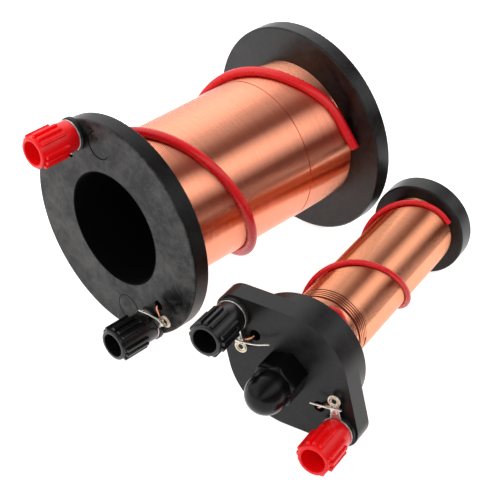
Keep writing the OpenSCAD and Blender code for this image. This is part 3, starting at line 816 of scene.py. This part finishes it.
class COIL_OT_primary_winding(bpy.types.Operator):
    """Wind the primary's layers of wire, with loose turns at the boss over a dark ring that paints the shade
    in their gaps
    """
    bl_idname = "coil.primary_winding"
    bl_label = "Primary Winding"

    def execute(self, context):
        coil = settings().coil
        place = face_frame("primary")
        copper = enamelled_copper("primary")
        wire, crown = coil.primary_wire_d, coil.primary_crown
        outer_r, inner_r = coil.primary_winding_r, coil.primary_inner_r
        start = coil.boss_length
        end = coil.primary_length - coil.end_disc_thickness
        loose_start = start + coil.loose_start
        loose_end = loose_start + coil.loose_turns * coil.loose_pitch
        floor_r, gap_r = outer_r - wire, outer_r - coil.loose_depth
        outline = wound_outline(start, loose_start, outer_r, wire, crown)
        outline += [(loose_start, floor_r), (loose_end, floor_r)]
        outline += wound_outline(loose_end, end, outer_r, wire, crown)
        outline += [(end, inner_r), (start, inner_r)]
        piece(
            "primary_layers", ring_wall(outline, WINDING_SIDES), place, "primary",
            copper, ("primary_winding", "primary_turns"),
        )
        # A dark ring just under the loose turns paints the shade seen in the gaps between them
        gaps = [(loose_start, floor_r), (loose_start, gap_r), (loose_end, gap_r), (loose_end, floor_r)]
        gap_shade_paint = worn(
            "painted_gap_shade", settings().finish.gap_shade_paint, gloss=0.5, dullness=0.7, scale=300.0, specular=0.1,
        )
        piece("primary_gap_shade", ring_wall(gaps), place, "primary", gap_shade_paint)
        pitch = coil.loose_pitch
        loose = helix(outer_r - wire / 2, pitch, coil.loose_turns - 1, loose_start + pitch / 2)
        piece(
            "primary_loose_turns", swept(loose, wire, 3), place, "primary",
            copper, sharp=180,
        )
        return {"FINISHED"}


# Marker tubes

# Turns between which a tube comes down on its winding, or climbs onto the last layer
SECONDARY_LANDING = (0.0, 0.15)
SECONDARY_CLIMB = (1.03, 1.10)
PRIMARY_LANDING = (0.05, 0.25)
# Where a tube strays from its helix: the turn, the stretch of turns and the depth
SECONDARY_STRAYS = ((0.45, 0.20, 1.6 * MM), (1.33, 0.06, 1.6 * MM))
PRIMARY_STRAYS = ((0.295, 0.045, 2.3 * MM),)
# Turns in which the primary's tube settles, after which it winds, and over which that starts
PRIMARY_SETTLING, PRIMARY_DELAY, PRIMARY_ONSET = 0.15, 0.60, 0.08
# Turns over which a tube bends out of its hole, points in a turn, and its wall as a share of its diameter
HOLE_BEND, ROUTE_STEPS, TUBE_WALL = 0.1, 72, 0.16


def eased(value, start, end):
    """0 before start, 1 after end, and a smooth rise between."""
    part = min(max((value - start) / (end - start), 0.0), 1.0)
    return part * part * (3 - 2 * part)


def strayed(turn, strays):
    """How far a tube lies from its helix at a turn."""
    return sum(depth * math.exp(-((turn - middle) / stretch) ** 2) for middle, stretch, depth in strays)


def above_zero(value, soft):
    """0 for values below zero, the value above it, and a soft bend between."""
    return soft * math.log(1 + math.exp(value / soft))


def held_back(value, limit, soft):
    """The value, turned aside softly before a limit."""
    return limit - above_zero(limit - value, soft)


def marker_path(hole, start, turns, depth_at, radius_at, tube, free_end):
    """A marker tube: straight out of its hole, round the winding, and a straight free end."""
    points = [polar(radius_at(0.0), hole, tube - start), polar(radius_at(0.0), hole, -start)]
    steps = round(turns * ROUTE_STEPS)
    for step in range(steps + 1):
        turn = turns * step / steps
        turned = turn * turn / (turn + HOLE_BEND)
        points.append(polar(radius_at(turn), hole - TAU * turned, -start - depth_at(turn)))
    along = (points[-1] - points[-2]).normalized()
    points.append(points[-1] + along * free_end)
    return points


def cut_tube(points, diameter):
    """A tube along a path, hollow at its free end."""
    bm = swept(points, diameter, 6)
    tip = points[-1]
    cap = min(bm.faces, key=lambda face: (face.calc_center_median() - tip).length)
    bmesh.ops.inset_individual(bm, faces=[cap], thickness=diameter * TUBE_WALL)
    inward = (points[-2] - tip).normalized() * diameter
    grown = bmesh.ops.extrude_discrete_faces(bm, faces=[cap])["faces"][0]
    bmesh.ops.translate(bm, vec=inward, verts=list(grown.verts))
    bmesh.ops.remove_doubles(bm, verts=bm.verts, dist=1e-7)
    return bm


class COIL_OT_marker_tubes(bpy.types.Operator):
    """Lay the red tubes that show each winding's direction"""
    bl_idname = "coil.marker_tubes"
    bl_label = "Marker Tubes"

    def execute(self, context):
        coil, marker = settings().coil, settings().marker
        red = worn(
            "sleeve_plastic", settings().finish.sleeve_red, gloss=0.22, dullness=0.32, scale=140.0,
            shade=0.92, bump=0.004, specular=0.4,
        )
        for name, path, tube in (
            ("secondary", self.secondary_path(coil, marker), marker.secondary_d),
            ("primary", self.primary_path(coil, marker), marker.primary_d),
        ):
            piece(
                name + "_marker", cut_tube(path, tube), face_frame(name), name,
                red, (name + "_marker_tube",), sharp=50,
            )
        return {"FINISHED"}

    def secondary_path(self, coil, marker):
        tube, hole_r = marker.secondary_d, marker.secondary_hole_r
        rest_r = coil.secondary_winding_r + tube / 2 + marker.secondary_lift
        window = coil.secondary_length - 2 * coil.flange_thickness
        last = window - tube / 2 - marker.secondary_stop

        def depth_at(turn):
            wound = marker.secondary_first + marker.secondary_pitch * turn + strayed(turn, SECONDARY_STRAYS)
            return held_back(wound, last, marker.secondary_bend)

        def radius_at(turn):
            landed = hole_r + (rest_r - hole_r) * eased(turn, *SECONDARY_LANDING)
            return landed + coil.last_layer_step * eased(turn, *SECONDARY_CLIMB)

        hole = post_spot("secondary_red")[1] + marker.secondary_hole_turn
        return marker_path(
            hole, coil.flange_thickness, marker.secondary_turns, depth_at, radius_at, tube,
            marker.secondary_free,
        )

    def primary_path(self, coil, marker):
        tube, hole_r = marker.primary_d, marker.primary_hole_r
        rest_r = coil.primary_winding_r + tube / 2 + marker.primary_lift
        window = coil.primary_length - coil.end_disc_thickness - coil.boss_length
        last = window - tube / 2 - marker.primary_stop

        def depth_at(turn):
            settled = marker.primary_settle * (1 - math.exp(-turn / PRIMARY_SETTLING))
            wound = marker.primary_pitch * above_zero(turn - PRIMARY_DELAY, PRIMARY_ONSET)
            depth = marker.primary_first + settled + wound + strayed(turn, PRIMARY_STRAYS)
            return held_back(depth, last, marker.primary_bend)

        def radius_at(turn):
            return hole_r + (rest_r - hole_r) * eased(turn, *PRIMARY_LANDING)

        return marker_path(
            post_spot("primary_black")[1], coil.boss_length, marker.primary_turns, depth_at, radius_at, tube,
            marker.primary_free,
        )


# Knobs

KNOB_SIDES, RIB_GROUPS, RIBS_IN_GROUP, RIB_SQUARENESS = 240, 4, 3, 8


def knob_shape(post):
    """A knob: insert pocket, plain back, three-rib groups, rounded rim and open recess."""
    body_r, pocket_r, recess_r = post.knob_d / 2, post.insert_d / 2, post.recess_d / 2
    base, rim, soft = post.base_round, post.rim_chamfer, post.rib_round
    lip, fillet, floor = post.recess_lip, post.recess_fillet, post.recess_floor
    tip = post.knob_length
    rib_end = tip - post.rib_setback
    rib_start = rib_end - post.rib_length
    half = post.rib_width / 2 / body_r
    ribs = [
        TAU * group / RIB_GROUPS + post.rib_first + post.rib_spacing * rib
        for group in range(RIB_GROUPS) for rib in range(RIBS_IN_GROUP)
    ]

    def ribbed(part):
        def radius(angle):
            for rib in ribs:
                off = abs((angle - rib + math.pi) % TAU - math.pi) / half
                if off < 1.0:
                    return body_r + part * post.rib_height * (1 - off ** RIB_SQUARENESS) ** 0.5
            return body_r
        return radius

    rings = [
        (post.insert_length, even(pocket_r)), (0.0, even(pocket_r)),
        (0.0, even(body_r - base)), (base / 3, even(body_r - base / 3)), (base, even(body_r)),
        (rib_start, even(body_r)), (rib_start + 0.3 * soft, ribbed(0.85)), (rib_start + soft, ribbed(1.0)),
        (rib_end - soft, ribbed(1.0)), (rib_end - 0.3 * soft, ribbed(0.85)), (rib_end, even(body_r)),
        (tip - rim, even(body_r)), (tip - 0.6 * rim, even(body_r - 0.1 * rim)),
        (tip - 0.2 * rim, even(body_r - 0.45 * rim)), (tip, even(body_r - rim)),
        (tip, even(recess_r + lip)), (tip - lip, even(recess_r)),
        (floor + 0.8 * fillet, even(recess_r - 0.2 * fillet)), (floor, even(recess_r - fillet)),
    ]
    return lofted(rings, KNOB_SIDES)


class COIL_OT_knobs(bpy.types.Operator):
    """Mould the four ribbed knobs"""
    bl_idname = "coil.knobs"
    bl_label = "Knobs"

    def execute(self, context):
        sizes, finish = settings().post, settings().finish
        black = worn(
            "black_knob_plastic", finish.knob_black, gloss=0.24, dullness=0.36, scale=260.0,
            shade=0.8, specular=0.4,
        )
        red = worn(
            "red_knob_plastic", finish.knob_red, gloss=0.24, dullness=0.38, scale=260.0,
            shade=0.92, specular=0.32,
        )
        for post in POSTS:
            plastic, slot = (black, "black_knob") if post.endswith("black") else (red, "red_knob")
            place = post_frame(post) @ Matrix.Translation((0, 0, sizes.knob_base))
            piece(
                post + "_grip", knob_shape(sizes), place, post + "_knob",
                plastic, (post + "_knob",), sharp=38,
            )
        return {"FINISHED"}


# Solder lugs and leads

# Each lug's direction on its face in degrees, and its reach from the stud to the eyelet in millimetres
LUGS = {
    "secondary_black": (35.5, 10.6),
    "secondary_red": (215.5, 10.6),
    "primary_black": (-70.0, 10.7),
    "primary_red": (98.0, 11.4),
}
# How much wider than its neck a lug leaves its ring, and where along its reach the neck is straight
LUG_MOUTH, LUG_NECK_AT = 1.25, 0.62
# How uneven a lump of solder is, and how fine its unevenness
SOLDER_SWELL, SOLDER_FINENESS = 0.28, 1.7


def on_face(*millimetres):
    """Points on a terminal face, given in millimetres right, up and out."""
    return [Vector(point) * MM for point in millimetres]


# A lead runs from its hole to its lug's neck, and its tinned tail wraps the neck and sticks out
SECONDARY_LEAD = on_face(
    (19.9, -19.9, -6.0), (19.9, -19.9, -1.0), (20.2, -20.2, 0.8), (21.4, -21.6, 1.3), (22.6, -23.2, 1.2),
)
SECONDARY_TAIL = on_face(
    (22.6, -23.2, 1.2), (23.6, -24.2, 1.5), (24.3, -23.6, 2.4), (23.4, -22.7, 2.9), (22.0, -22.6, 2.8),
    (19.0, -23.0, 2.7), (16.4, -23.2, 2.9), (14.0, -23.4, 3.3),
)
PRIMARY_BLACK_LEAD = on_face(
    (-11.4, 8.7, -12.0), (-11.4, 8.7, -1.0), (-11.7, 8.5, 0.7), (-13.0, 7.5, 1.0), (-14.6, 6.6, 0.9),
)
PRIMARY_BLACK_TAIL = on_face(
    (-14.6, 6.6, 0.9), (-16.9, 6.0, 1.2), (-17.3, 6.2, 2.1), (-16.2, 6.8, 2.9), (-14.4, 7.0, 2.9),
    (-11.6, 7.2, 2.6), (-8.6, 8.0, 2.6), (-6.2, 9.2, 2.9), (-4.4, 10.2, 3.4),
)
PRIMARY_RED_LEAD = on_face(
    (11.4, -8.7, -12.0), (11.4, -8.7, -1.0), (11.7, -8.3, 0.7), (13.2, -6.9, 1.2), (16.0, -6.2, 0.9),
)
PRIMARY_RED_TAIL = on_face(
    (16.0, -6.2, 0.9), (18.9, -5.9, 1.1), (19.4, -5.4, 2.0), (18.4, -4.9, 2.9), (16.4, -5.2, 2.9),
    (14.2, -5.6, 2.7), (12.0, -5.7, 2.9), (9.8, -5.6, 3.2),
)
# Each post's lead, its tail, and their turn about the coil's axis
LEADS = {
    "secondary_black": (SECONDARY_LEAD, SECONDARY_TAIL, 0.0),
    "secondary_red": (SECONDARY_LEAD, SECONDARY_TAIL, math.pi),
    "primary_black": (PRIMARY_BLACK_LEAD, PRIMARY_BLACK_TAIL, 0.0),
    "primary_red": (PRIMARY_RED_LEAD, PRIMARY_RED_TAIL, 0.0),
}


def lug_shape(post, reach):
    """A flat ring with a necked tail that ends in an eyelet."""
    ring_r, eyelet_r, half_neck = post.lug_ring_d / 2, post.eyelet_d / 2, post.lug_neck / 2
    eye = Vector((reach, 0, 0))
    opening = LUG_MOUTH * math.asin(half_neck / ring_r)
    mouth = math.pi - math.asin(half_neck / eyelet_r)
    outline = arc(ring_r, opening, TAU - opening, 40)
    outline.append(Vector((reach * LUG_NECK_AT, -half_neck, 0)))
    outline += arc(eyelet_r, -mouth, mouth, 28, eye)
    outline.append(Vector((reach * LUG_NECK_AT, half_neck, 0)))
    holes = circle(post.stud_d / 2, 32), circle(post.eyelet_hole_d / 2, 24, eye)
    return flat_sheet((outline, *holes), post.lug_thickness, post.lug_edge)


def solder_blob(middle, size, seed):
    """A lump of solder, uneven as it froze."""
    bm = bmesh.new()
    bmesh.ops.create_icosphere(bm, subdivisions=4, radius=1.0)
    shift = Vector((seed, 0, 0))
    for vert in bm.verts:
        swell = 1 + SOLDER_SWELL * noise.noise(vert.co * SOLDER_FINENESS + shift)
        vert.co = middle + vert.co * Vector(size) * swell
    return bm


def smooth_route(points, steps=8):
    """A curve that passes through every point."""
    route = []
    padded = [points[0]] + list(points) + [points[-1]]
    for a, b, c, d in zip(padded, padded[1:], padded[2:], padded[3:]):
        for step in range(steps):
            t = step / steps
            route.append(0.5 * (
                2 * b + (c - a) * t + (2 * a - 5 * b + 4 * c - d) * t * t + (3 * b - a - 3 * c + d) * t ** 3
            ))
    route.append(points[-1])
    return route


class COIL_OT_lugs(bpy.types.Operator):
    """Fit the tinned solder lugs, their eyelet rims and their solder"""
    bl_idname = "coil.lugs"
    bl_label = "Solder Lugs"

    def execute(self, context):
        for seed, post in enumerate(POSTS):
            self.fit(post, 5.0 * seed)
        return {"FINISHED"}

    def fit(self, post, seed):
        sizes, finish = settings().post, settings().finish
        tin = worn(
            "bright_tin", finish.tin, gloss=0.32, dullness=0.58, scale=700.0,
            metallic=1.0, shade=0.6, bump=0.10,
        )
        tan = worn(
            "eyelet_rim", finish.eyelet_tan, gloss=0.28, dullness=0.5, scale=900.0,
            metallic=1.0, shade=0.6,
        )
        name = coil_of(post)
        direction, reach = math.radians(LUGS[post][0]), LUGS[post][1] * MM
        half = sizes.lug_thickness / 2
        turned = Matrix.Rotation(direction - post_spot(post)[1], 4, "Z")
        place = post_frame(post) @ turned @ Matrix.Translation((0, 0, sizes.lug_height + half))
        piece(
            post + "_solder_lug", lug_shape(sizes, reach), place, name,
            tin, (post + "_lug",), sharp=50,
        )
        rim_r = (sizes.eyelet_d + sizes.eyelet_hole_d) / 4
        rim = arc(rim_r, 0.0, TAU, 32, Vector((reach, 0, half)))
        piece(post + "_eyelet_rim", swept(rim, sizes.eyelet_rim_d, 2), place, name, tan)
        blob = solder_blob(Vector((reach - sizes.solder_setback, 0, half)), sizes.solder_size, seed)
        piece(post + "_solder", blob, place, name, tin, sharp=180)


class COIL_OT_leads(bpy.types.Operator):
    """Run the windings' ends to their lugs, whose tin their tails share"""
    bl_idname = "coil.leads"
    bl_label = "Leads"

    def execute(self, context):
        sizes = settings().post
        for post, (lead, tail, turn) in LEADS.items():
            name = coil_of(post)
            place = face_frame(name) @ Matrix.Rotation(turn, 4, "Z")
            piece(
                post + "_wire", swept(smooth_route(lead), sizes.lead_d, 3), place, name,
                enamelled_copper(name), (post + "_lead",), sharp=60,
            )
            piece(
                post + "_wire_end", swept(smooth_route(tail), sizes.tail_d, 3), place, name,
                bpy.data.materials["bright_tin"], sharp=60,
            )
        return {"FINISHED"}


class COIL_OT_hardware(bpy.types.Operator):
    """Give the studs and inserts their metal finish"""
    bl_idname = "coil.hardware"
    bl_label = "Studs and Inserts"

    def execute(self, context):
        finish = settings().finish
        steel = worn("plated_steel", finish.steel, gloss=0.25, dullness=0.40, scale=900.0, metallic=1.0)
        brass = worn("turned_brass", finish.brass, gloss=0.22, dullness=0.38, scale=900.0, metallic=1.0)
        for post in POSTS:
            dress(post + "_stud", steel)
            dress(post + "_insert", brass)
        return {"FINISHED"}


# Core

HEX_SIDES, HEX_CRISPNESS, CHAMFER_SLOPE = 6, 44, 1.7
CAP_SIDES, CHAMFER_STEPS, DOME_STEPS = 192, 8, 18


def cap_shape(cap):
    """A hexagon with chamfered corners, a dome in front and the core's seat behind."""
    flat_r, dome_r, seat_r = cap.across_flats / 2, cap.dome_d / 2, cap.seat_d / 2
    half_side = math.pi / HEX_SIDES
    corner_r = flat_r / math.cos(half_side)
    dome_z = cap.cap_length - dome_r
    top, edge = cap.hex_length, cap.edge

    def hexagon(limit, trim=0.0):
        """Six flats and a round limit, blended so that each corner is slightly rounded."""
        def radius(angle):
            leans = (math.cos(angle - half_side * (1 + 2 * side)) for side in range(HEX_SIDES))
            blend = sum((max(lean, 0.0) / flat_r) ** HEX_CRISPNESS for lean in leans)
            return (blend + limit ** -HEX_CRISPNESS) ** (-1 / HEX_CRISPNESS) - trim
        return radius

    rings = [
        (cap.seat_depth, even(seat_r)), (0.0, even(seat_r)),
        (0.0, hexagon(corner_r, edge)), (edge, hexagon(corner_r)), (top - 2 * cap.chamfer, hexagon(corner_r)),
    ]
    for step in range(1, CHAMFER_STEPS + 1):
        rise = cap.chamfer * step / CHAMFER_STEPS
        rings.append((top - edge - cap.chamfer + rise, hexagon(corner_r - CHAMFER_SLOPE * rise)))
    lip = corner_r - CHAMFER_SLOPE * cap.chamfer
    rings += [
        (top - 0.3 * edge, hexagon(lip, 0.3 * edge)), (top, hexagon(lip, edge)),
        (top, even(dome_r)), (top + cap.dome_foot, even(dome_r)), (dome_z, even(dome_r)),
    ]
    for step in range(1, DOME_STEPS):
        lean = math.pi / 2 * step / DOME_STEPS
        rings.append((dome_z + dome_r * math.sin(lean), even(dome_r * math.cos(lean))))
    return lofted(rings, CAP_SIDES)


class COIL_OT_core(bpy.types.Operator):
    """Finish the iron core and its domed cap"""
    bl_idname = "coil.core"
    bl_label = "Core and Cap"

    def execute(self, context):
        cap, finish = settings().cap, settings().finish
        iron = worn(
            "bare_iron", finish.iron, gloss=0.35, dullness=0.60, scale=350.0,
            metallic=1.0, shade=0.7, bump=0.05,
        )
        dress("iron_core", iron)
        gloss = worn(
            "cap_plastic", finish.gloss_black, gloss=0.17, dullness=0.26, scale=180.0,
            shade=0.9, bump=0.01, specular=0.17,
        )
        turned = Matrix.Translation((0, 0, cap.face_gap)) @ Matrix.Rotation(cap.turn, 4, "Z")
        piece(
            "domed_cap", cap_shape(cap), face_frame("primary") @ turned, "core",
            gloss, ("core_cap",), sharp=30,
        )
        return {"FINISHED"}


# Stage

# Level of the light round the tent, by degrees from its right edge: two bright panels and dark gaps
TENT_LEVELS = (
    (0, 0.6), (10, 0.28), (19, 0.15), (26, 0.45), (37, 1.26), (47, 1.7), (57, 1.28), (64, 0.7), (70, 0.25),
    (79, 0.3), (90, 0.65), (100, 0.9), (118, 1.67), (130, 1.8), (148, 1.5), (180, 0.65),
)
# Levels between which the warm tone of the gaps gives way to white
GAP_LEVELS = (0.10, 0.55)


def tent_light(place):
    """Soft light whose level changes round the tent, with a warm tone in its dark gaps."""
    material, tree, shader = blank("tent_light")
    tree.nodes.remove(shader)
    here = add(tree, "ShaderNodeSeparateXYZ", Vector=along_axis(tree, object_place(tree), place)).outputs
    angle = calculated(tree, "ARCTAN2", here["Z"], here["X"])
    ramp = add(tree, "ShaderNodeFloatCurve", Value=calculated(tree, "DIVIDE", angle, math.pi))
    curve = ramp.mapping.curves[0]
    top = max(level for _, level in TENT_LEVELS)
    while len(curve.points) < len(TENT_LEVELS):
        curve.points.new(0.5, 0.5)
    for point, (degrees, level) in zip(curve.points, TENT_LEVELS):
        point.location = (degrees / 180, level / top)
    ramp.mapping.update()
    light = calculated(tree, "MULTIPLY", ramp.outputs["Value"], top)
    tone = mixed(tree, ranged(tree, light, *GAP_LEVELS), rgba(settings().studio.gap_tint), WHITE)
    glow = add(tree, "ShaderNodeEmission", Color=tone, Strength=light)
    connect(tree, tree.nodes["Material Output"], Surface=glow.outputs["Emission"])
    return material


def white_table(studio):
    """A white table that reads as paper white where no shadow falls."""
    material, tree, shader = blank("white_table")
    path = tree.nodes.new("ShaderNodeLightPath").outputs
    seen = calculated(tree, "MULTIPLY", path["Is Camera Ray"], studio.table_glow)
    mirrored = calculated(tree, "MAXIMUM", path["Is Glossy Ray"], path["Is Transmission Ray"])
    connect(
        tree, shader, Base_Color=rgba(studio.table_white), Roughness=0.9, Emission_Color=WHITE,
        Emission_Strength=calculated(tree, "MAXIMUM", seen, mirrored),
    )
    return material


def dark_card(studio):
    """The dark card that draws a dark line along the copper."""
    material, tree, shader = blank("dark_card")
    connect(tree, shader, Base_Color=rgba(studio.card_brown), Roughness=0.95)
    return material


def flat_panel(width, depth, at, turned):
    """A flat rectangle at its place under the turned tent."""
    bm = bmesh.new()
    bmesh.ops.create_grid(bm, x_segments=1, y_segments=1, size=0.5)
    place = turned @ Matrix.Translation(at) @ Matrix.Diagonal((width, depth, 1, 1))
    bmesh.ops.transform(bm, matrix=place, verts=bm.verts)
    return bm


def half_round(radius, depth, turned):
    """Half a tube that stands on its two long edges."""
    bm = bmesh.new()
    ends = [bm.verts.new((radius, side * depth / 2, 0)) for side in (-1, 1)]
    rail = bm.edges.new(ends)
    bmesh.ops.spin(
        bm, geom=ends + [rail], cent=(0, 0, 0), axis=(0, -1, 0), angle=math.pi, steps=90,
    )
    bmesh.ops.transform(bm, matrix=turned, verts=bm.verts)
    return bm


def stand(name, bm, material):
    """A thing of the studio, which is no part of the object."""
    mesh = bpy.data.meshes.new(name)
    bm.to_mesh(mesh)
    bm.free()
    mesh.materials.append(material)
    item = bpy.data.objects.new(name, mesh)
    bpy.context.scene.collection.objects.link(item)
    return item


class COIL_OT_stage(bpy.types.Operator):
    """Set up the light tent, the table and the camera"""
    bl_idname = "coil.stage"
    bl_label = "Stage"

    def execute(self, context):
        studio, scene = settings().studio, context.scene
        turned = Matrix.Rotation(studio.tent_turn, 4, "Z")
        tent = stand("light_tent", half_round(studio.tent_r, studio.tent_length, turned), tent_light(turned))
        tent.visible_camera = False
        under = (0, 0, -studio.table_drop)
        table = flat_panel(2 * studio.tent_r, studio.tent_length, under, turned)
        stand("table", table, white_table(studio))
        beside = ((studio.card_near + studio.card_far) / 2, 0, studio.card_lift)
        card = flat_panel(studio.card_far - studio.card_near, studio.tent_length, beside, turned)
        card = stand("dark_card", card, dark_card(studio))
        card.visible_camera = card.visible_diffuse = card.visible_shadow = False
        scene.world = bpy.data.worlds.new("studio_world")
        scene.world.use_nodes = True
        scene.world.node_tree.nodes["Background"].inputs["Color"].default_value = WHITE
        scene.camera = self.camera(studio)
        scene.collection.objects.link(scene.camera)
        scene.view_settings.view_transform = "Standard"
        return {"FINISHED"}

    def camera(self, studio):
        data = bpy.data.cameras.new("camera")
        data.lens = studio.lens
        data.clip_end = studio.camera_range
        camera = bpy.data.objects.new("camera", data)
        aim = Vector(studio.camera_aim).to_track_quat("-Z", "Y")
        camera.matrix_world = Matrix.Translation(studio.camera_at) @ aim.to_matrix().to_4x4()
        return camera


# Add-on

OPERATORS = (
    COIL_OT_bobbins, COIL_OT_secondary_winding, COIL_OT_primary_winding, COIL_OT_marker_tubes,
    COIL_OT_knobs, COIL_OT_lugs, COIL_OT_leads, COIL_OT_hardware, COIL_OT_core, COIL_OT_stage,
)


class COIL_PT_panel(bpy.types.Panel):
    """The pieces of the coil set, in the order that they are made"""
    bl_idname = "COIL_PT_panel"
    bl_label = "Induction Coil"
    bl_space_type = "VIEW_3D"
    bl_region_type = "UI"
    bl_category = "Induction Coil"

    def draw(self, context):
        column = self.layout.column()
        for operator in OPERATORS:
            column.operator(operator.bl_idname)


GROUPS = (CoilSizes, MarkerSizes, PostSizes, CapSizes, Finishes, Studio, InductionCoil)
CLASSES = GROUPS + OPERATORS + (COIL_PT_panel,)


def register():
    for cls in CLASSES:
        bpy.utils.register_class(cls)
    bpy.types.Scene.induction_coil = PointerProperty(type=InductionCoil)


def unregister():
    del bpy.types.Scene.induction_coil
    for cls in reversed(CLASSES):
        bpy.utils.unregister_class(cls)


def main():
    register()
    bpy.ops.coil.bobbins()
    bpy.ops.coil.secondary_winding()
    bpy.ops.coil.primary_winding()
    bpy.ops.coil.marker_tubes()
    bpy.ops.coil.knobs()
    bpy.ops.coil.lugs()
    bpy.ops.coil.leads()
    bpy.ops.coil.hardware()
    bpy.ops.coil.core()
    bpy.ops.coil.stage()


if __name__ == "__main__":
    main()
